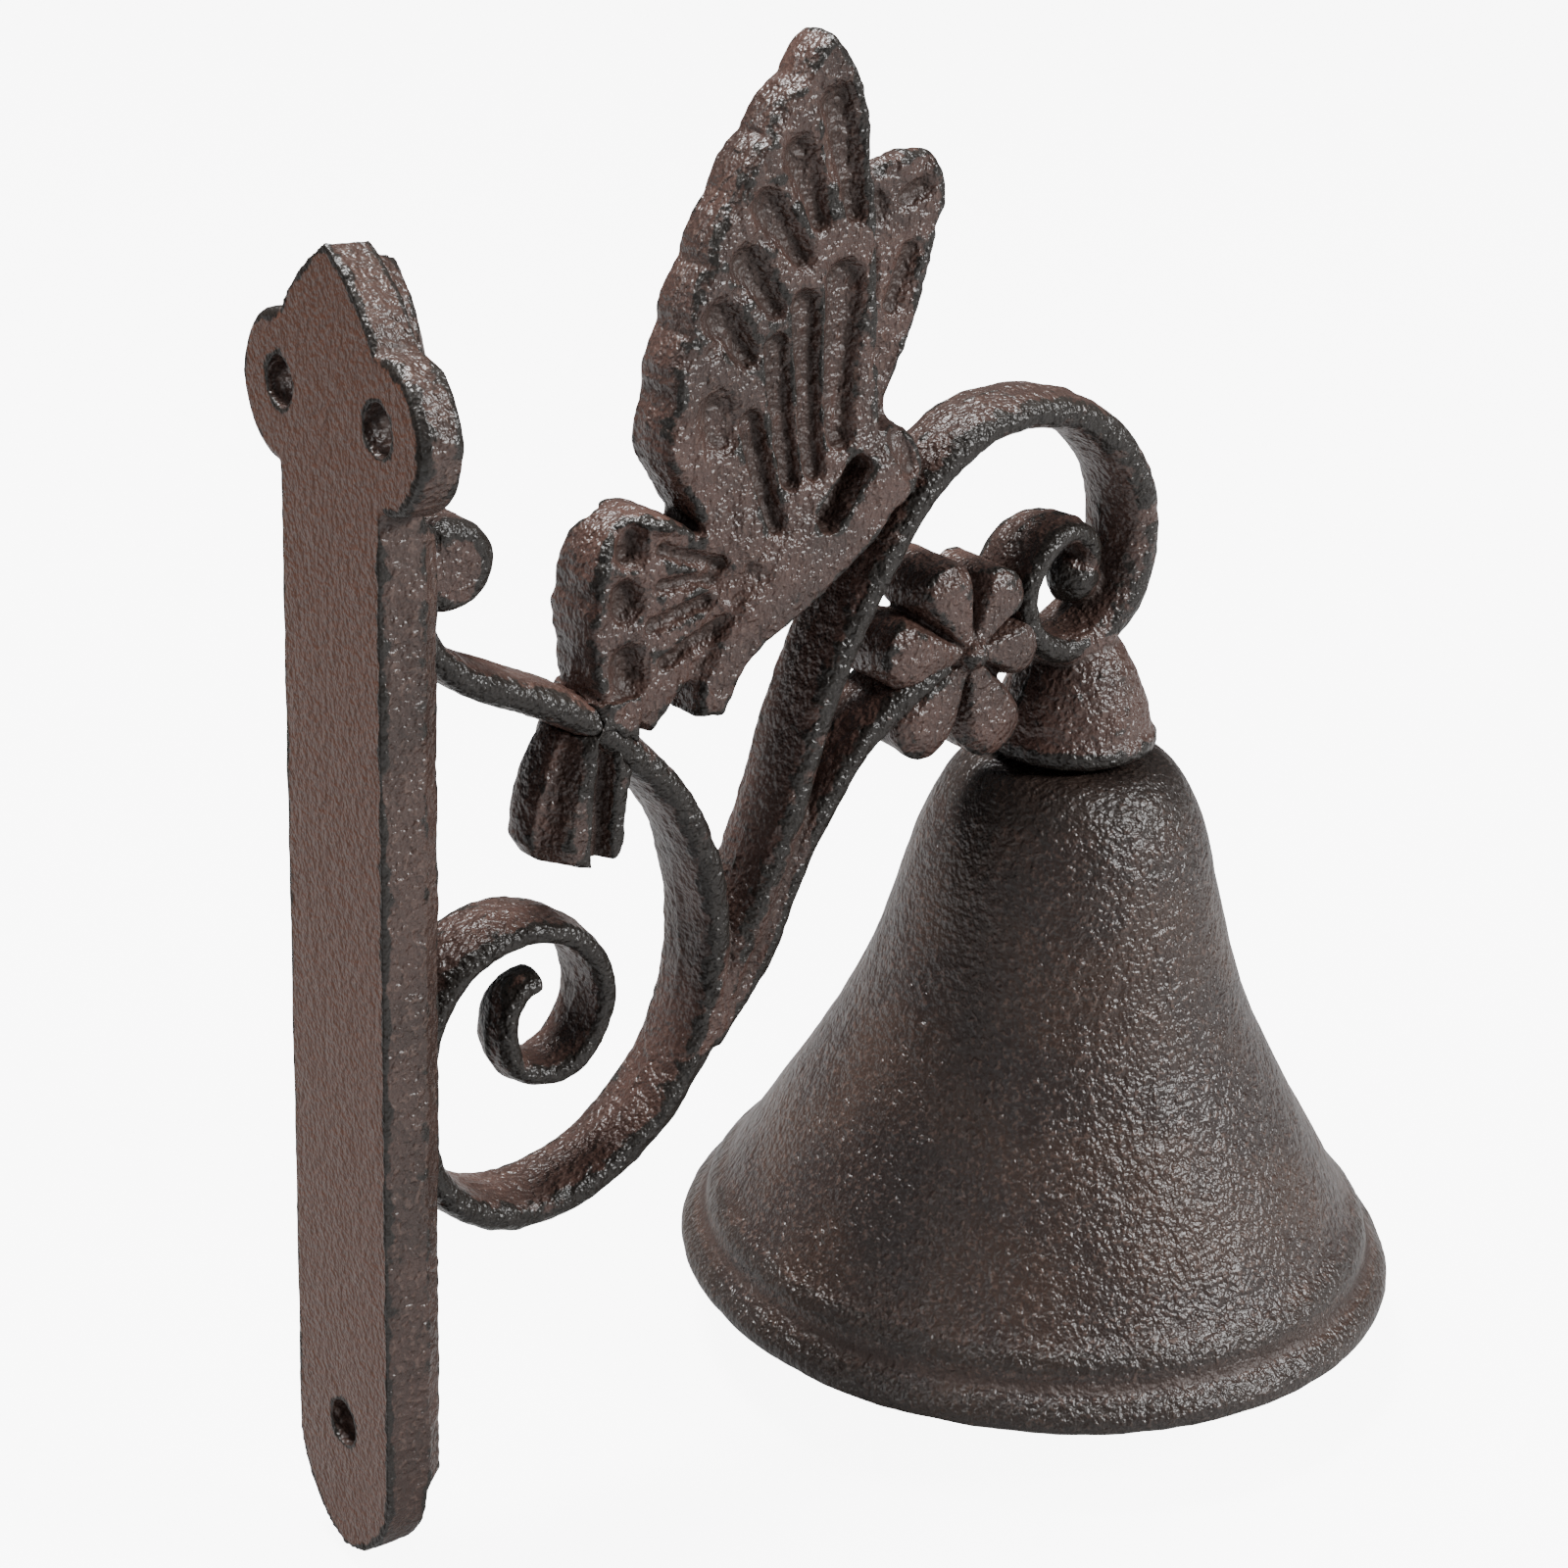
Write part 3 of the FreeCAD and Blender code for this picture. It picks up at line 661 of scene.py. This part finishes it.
def dull_steel(name):
    """Grey steel with patches of rust, for the bolt and the chain."""
    n = Nodes(name)
    streaks = n.noise(1.8, 4.0, 0.6)
    rust = n.ramp(n.noise(5.0, 5.0, 0.7), 0.48, 0.62)
    body = n.mix(streaks, colour(0.20, 0.18, 0.165), colour(0.10, 0.085, 0.075))
    body = n.mix(n.math("MULTIPLY", rust, 0.75), body, colour(0.13, 0.055, 0.025))
    n.join(body, n.shader.inputs["Base Color"])
    n.join(n.math("SUBTRACT", 0.85, n.math("MULTIPLY", rust, 0.75)), n.shader.inputs["Metallic"])
    n.join(n.math("ADD", n.math("MULTIPLY", rust, 0.35), 0.38), n.shader.inputs["Roughness"])
    n.join(n.bump(n.noise(0.5, 3.0, 0.6), 0.4, 0.12), n.shader.inputs["Normal"])
    return n.material


def plain_floor():
    """Pale floor, lit up a little for the camera so that it reads as white."""
    n = Nodes("pale_floor")
    tint = n.mix(n.noise(400, 1.0), colour(0.34, 0.34, 0.34), colour(0.38, 0.38, 0.38))
    n.join(tint, n.shader.inputs["Base Color"])
    n.shader.inputs["Roughness"].default_value = 0.9
    n.shader.inputs["Emission Color"].default_value = colour(1, 1, 1)
    seen = n.add("ShaderNodeLightPath").outputs["Is Camera Ray"]
    n.join(n.math("MULTIPLY", seen, FLOOR_GLOW), n.shader.inputs["Emission Strength"])
    return n.material


# ---------------------------------------------------------------- pieces

SCROLL_NODES = ("wall_scroll", "bell_arm", "flower_stem", "hanger_boss")


def casting_seam(points, normals):
    """Thin uneven line left where the two halves of the mould met."""
    wander = 0.5 * noise(points * [1, 0, 1], 9.0, 41)
    broken = ease(0.6 + noise(points * [1, 0, 1], 4.0, 42))
    line = np.exp(-((points[:, 1] - wander) / 0.42) ** 2)
    edge_on = ease((0.6 - np.abs(normals[:, 1])) / 0.4)
    return 0.24 * line * broken * edge_on


def plate_casting(material):
    """Wall plate, with a flatter skin on the face that lies on the wall."""
    obj = joined_copy("plate_casting", ("wall_plate",))
    remesh(obj, PLATE_VOXEL)
    smooth(obj, 6)
    flat = ease((-normals_of(obj)[:, 0] - 0.6) / 0.3)
    cast_skin(obj, 0.16, 0.09, 3, 1 - 0.75 * flat)
    store_relief(obj, CASTING_BLUR)
    return finish_piece(obj, "bracket", material, ("wall_plate",))


def scroll_casting(material):
    obj = joined_copy("scroll_casting", SCROLL_NODES)
    remesh(obj, SCROLL_VOXEL)
    smooth(obj, 10)
    points, normals = points_of(obj), normals_of(obj)
    set_points(obj, points + normals * casting_seam(points, normals)[:, None])
    cast_skin(obj, 0.15, 0.10, 5)
    store_relief(obj, CASTING_BLUR)
    return finish_piece(obj, "bracket", material, SCROLL_NODES)


def butterfly_casting(material):
    obj = joined_copy("butterfly_casting", ("butterfly_tail",), [butterfly_mesh()])
    remesh(obj, BUTTERFLY_VOXEL)
    smooth(obj, 4)
    set_points(obj, tail_relief(points_of(obj)))
    smooth(obj, 5)
    cast_skin(obj, 0.16, 0.09, 13)
    store_relief(obj, CASTING_BLUR)
    return finish_piece(obj, "bracket", material, WING_NODES + ("butterfly_tail",))


def flower_casting(material):
    obj = joined_copy("flower_casting", (), [flower_mesh()])
    remesh(obj, FLOWER_VOXEL)
    smooth(obj, 4)
    cast_skin(obj, 0.14, 0.08, 53)
    store_relief(obj, CASTING_BLUR)
    return finish_piece(obj, "bracket", material, ("flower",))


def bell_profile():
    """Outer then inner (radius, z) points of the bell, as shares of its box, in mm."""
    low, high = node_box("bell")
    rim_r = (high[0] - low[0]) / 2
    height = high[2] - low[2]
    hole_share = 0.0622
    outer = [(0.20, 0.0), (0.268, 0.012), (0.318, 0.045), (0.357, 0.092), (0.392, 0.150),
             (0.418, 0.212), (0.45, 0.29), (0.486, 0.37), (0.53, 0.45), (0.587, 0.53),
             (0.652, 0.608), (0.715, 0.68), (0.777, 0.75), (0.832, 0.81), (0.872, 0.851),
             (0.905, 0.873), (0.926, 0.892), (0.931, 0.910), (0.940, 0.925), (0.965, 0.940),
             (0.990, 0.957), (1.0, 0.972), (0.997, 0.986), (0.978, 0.997), (0.945, 1.0)]
    inner = [(0.915, 0.995), (0.895, 0.975), (0.87, 0.93), (0.815, 0.875), (0.735, 0.795),
             (0.64, 0.69), (0.555, 0.585), (0.485, 0.47), (0.425, 0.345), (0.375, 0.24),
             (0.325, 0.15), (0.27, 0.085), (0.20, 0.056)]
    ring = [(hole_share, 0.0)] + outer + inner + [(hole_share, 0.0529)]
    return [(r * rim_r, high[2] - z * height) for r, z in ring]


def smooth_profile(points, per_span):
    """Points of a curve through all the profile's points, straight at both ends."""
    result = []
    for index in range(len(points) - 1):
        p1, p2 = np.array(points[index]), np.array(points[index + 1])
        p0 = np.array(points[index - 1]) if index > 0 else p1
        p3 = np.array(points[index + 2]) if index + 2 < len(points) else p2
        for step in range(per_span):
            t = step / per_span
            result.append(0.5 * (2 * p1 + (p2 - p0) * t + (2 * p0 - 5 * p1 + 4 * p2 - p3) * t ** 2
                                 + (3 * p1 - p0 - 3 * p2 + p3) * t ** 3))
    result.append(np.array(points[-1]))
    return result


def even_profile(points, step_mm):
    """The same curve with evenly spaced points."""
    points = np.array(points)
    run = np.concatenate([[0], np.cumsum(np.linalg.norm(np.diff(points, axis=0), axis=1))])
    marks = np.linspace(0, run[-1], int(run[-1] / step_mm) + 1)
    return np.stack([np.interp(marks, run, points[:, k]) for k in range(2)], axis=1)


def bell_piece(material):
    """The bell's shell, turned round its axis, then given an uneven skin."""
    low, high = node_box("bell")
    centre_x = (low[0] + high[0]) / 2
    profile = even_profile(smooth_profile(bell_profile(), 12), 0.75)
    build = bmesh.new()
    rows = []
    for r, z in profile:
        row = []
        for step in range(AROUND):
            angle = 2 * math.pi * step / AROUND
            row.append(build.verts.new(((centre_x + r * math.cos(angle)) * MM,
                                        r * math.sin(angle) * MM, z * MM)))
        rows.append(row)
    for index in range(len(rows)):
        upper, lower = rows[index], rows[(index + 1) % len(rows)]
        for step in range(AROUND):
            after = (step + 1) % AROUND
            build.faces.new((upper[step], lower[step], lower[after], upper[after]))
    bmesh.ops.recalc_face_normals(build, faces=build.faces)
    mesh = bpy.data.meshes.new("bell_casting")
    build.to_mesh(mesh)
    build.free()
    obj = new_object("bell_casting", mesh)
    store_relief(obj, BELL_BLUR)
    points = points_of(obj)
    away = np.hypot(points[:, 0] - centre_x, points[:, 1])
    free = ease((away - 4.0) / 6.0)
    height = 0.16 * noise(points, 7.0, 21) + 0.07 * noise(points, 2.4, 22)
    height += 0.03 * noise(points, 1.0, 23)
    set_points(obj, points + normals_of(obj) * (height * free)[:, None])
    return finish_piece(obj, "bell", material, ("bell",))


def hardware_piece(node, body, material, grain):
    """Closely remeshed copy of a small CAD part, with a slightly uneven skin."""
    obj = joined_copy(node + "_detail", (node,))
    remesh(obj, HARDWARE_VOXEL)
    smooth(obj, 3)
    cast_skin(obj, grain, grain / 2, 31)
    store_relief(obj)
    return finish_piece(obj, body, material, (node,))


# ---------------------------------------------------------------- scene

def make_floor(material):
    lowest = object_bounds()[0].z
    bpy.ops.mesh.primitive_plane_add(size=FLOOR_SIZE, location=(0, 0, lowest - FLOOR_GAP))
    floor = bpy.context.object
    floor.name = "floor"
    floor.data.materials.append(material)
    floor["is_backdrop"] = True


def make_world():
    """Even room light, seen by the camera as bright as the floor."""
    world = bpy.data.worlds.new("studio")
    world.use_nodes = True
    tree = world.node_tree
    background = tree.nodes["Background"]
    background.inputs["Color"].default_value = colour(1, 1, 1)
    seen = tree.nodes.new("ShaderNodeLightPath").outputs["Is Camera Ray"]
    strength = tree.nodes.new("ShaderNodeMath")
    strength.operation = "MULTIPLY_ADD"
    tree.links.new(seen, strength.inputs[0])
    strength.inputs[1].default_value = FLOOR_GLOW
    strength.inputs[2].default_value = ROOM_LIGHT
    tree.links.new(strength.outputs["Value"], background.inputs["Strength"])
    bpy.context.scene.world = world


def area_light(name, place, size, power):
    """Soft square light that faces the middle of the object."""
    light = bpy.data.lights.new(name, "AREA")
    light.size = size
    light.energy = power
    obj = new_object(name, light)
    obj.location = place
    obj.rotation_euler = (CAMERA_TARGET - Vector(place)).to_track_quat("-Z", "Y").to_euler()
    return obj


def make_camera():
    """Camera on an orbit round CAMERA_TARGET, turned a little about its own axis."""
    azimuth, elevation = math.radians(CAMERA_AZIMUTH), math.radians(CAMERA_ELEVATION)
    roll = math.radians(CAMERA_ROLL)
    view = Vector((math.sin(azimuth) * math.cos(elevation),
                   math.cos(azimuth) * math.cos(elevation), -math.sin(elevation)))
    right = Vector((math.cos(azimuth), -math.sin(azimuth), 0))
    up = right.cross(view)
    rolled_right = right * math.cos(roll) + up * math.sin(roll)
    rolled_up = up * math.cos(roll) - right * math.sin(roll)
    camera = bpy.data.cameras.new("camera")
    camera.lens = CAMERA_LENS
    camera.clip_start = 0.01
    obj = new_object("camera", camera)
    turn = Matrix((rolled_right, rolled_up, -view)).transposed().to_4x4()
    obj.matrix_world = Matrix.Translation(CAMERA_TARGET - view * CAMERA_DISTANCE) @ turn
    bpy.context.scene.camera = obj


plate_iron = cast_iron("plate_iron", colour(0.050, 0.028, 0.022), colour(0.032, 0.018, 0.014), 1.0, 0.8,
                       colour(0.070, 0.031, 0.020))
bracket_iron = cast_iron("bracket_iron", colour(0.062, 0.033, 0.026), colour(0.036, 0.020, 0.016), 1.0, 0.9)
bell_iron = cast_iron("bell_iron", colour(0.032, 0.018, 0.013), colour(0.020, 0.012, 0.010), 0.5, 0.8)
clapper_iron = cast_iron("clapper_iron", colour(0.030, 0.020, 0.017), colour(0.016, 0.012, 0.011))
steel = dull_steel("hardware_steel")

plate_casting(plate_iron)
scroll_casting(bracket_iron)
butterfly_casting(bracket_iron)
flower_casting(bracket_iron)
bell_piece(bell_iron)
hardware_piece("hanger_eye_bolt", "bracket", steel, 0.02)
hardware_piece("bell_washer", "bracket", steel, 0.02)
hardware_piece("hanger_nut", "bracket", steel, 0.02)
hardware_piece("clapper_link", "clapper_link", steel, 0.02)
hardware_piece("clapper_rod", "clapper", steel, 0.03)
hardware_piece("clapper_ball", "clapper", clapper_iron, 0.08)

make_floor(plain_floor())
make_world()
area_light("key_light", (0.62, -0.72, 0.50), 0.25, 17)
area_light("left_light", (-0.95, 0.05, 0.45), 0.35, 5)
area_light("top_light", (-0.1, 0.30, 1.1), 0.35, 40)
make_camera()
